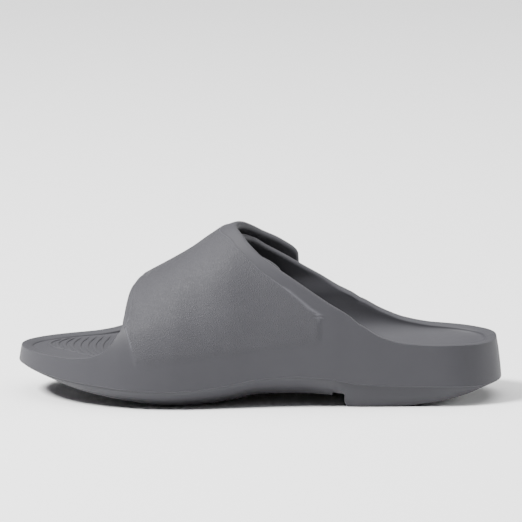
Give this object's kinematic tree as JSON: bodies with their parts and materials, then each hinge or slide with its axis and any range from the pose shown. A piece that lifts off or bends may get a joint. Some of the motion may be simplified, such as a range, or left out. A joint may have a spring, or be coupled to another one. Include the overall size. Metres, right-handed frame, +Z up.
{
  "type": "slide sandal",
  "caption": "Left sport slide sandal: a one-piece moulded foam sole and side walls, with a strap whose outer flap closes over an inner flap across the instep.",
  "frame": {"origin": "on the floor, under the middle of the sandal's bounding box", "axes": "-X to the toe, +X to the heel, -Y to the lateral (outer) side, +Y to the medial (inner) side, +Z up"},
  "size_m": [0.29, 0.1092, 0.103],
  "materials": {
    "foam": "matte grey moulded foam",
    "loop_tape": "soft looped tape",
    "hook_tape": "hooked tape"
  },
  "bodies": {
    "root": {"moulded_sandal": "foam", "loop_pad": "loop_tape", "hook_pad": "hook_tape"}
  },
  "joints": []
}
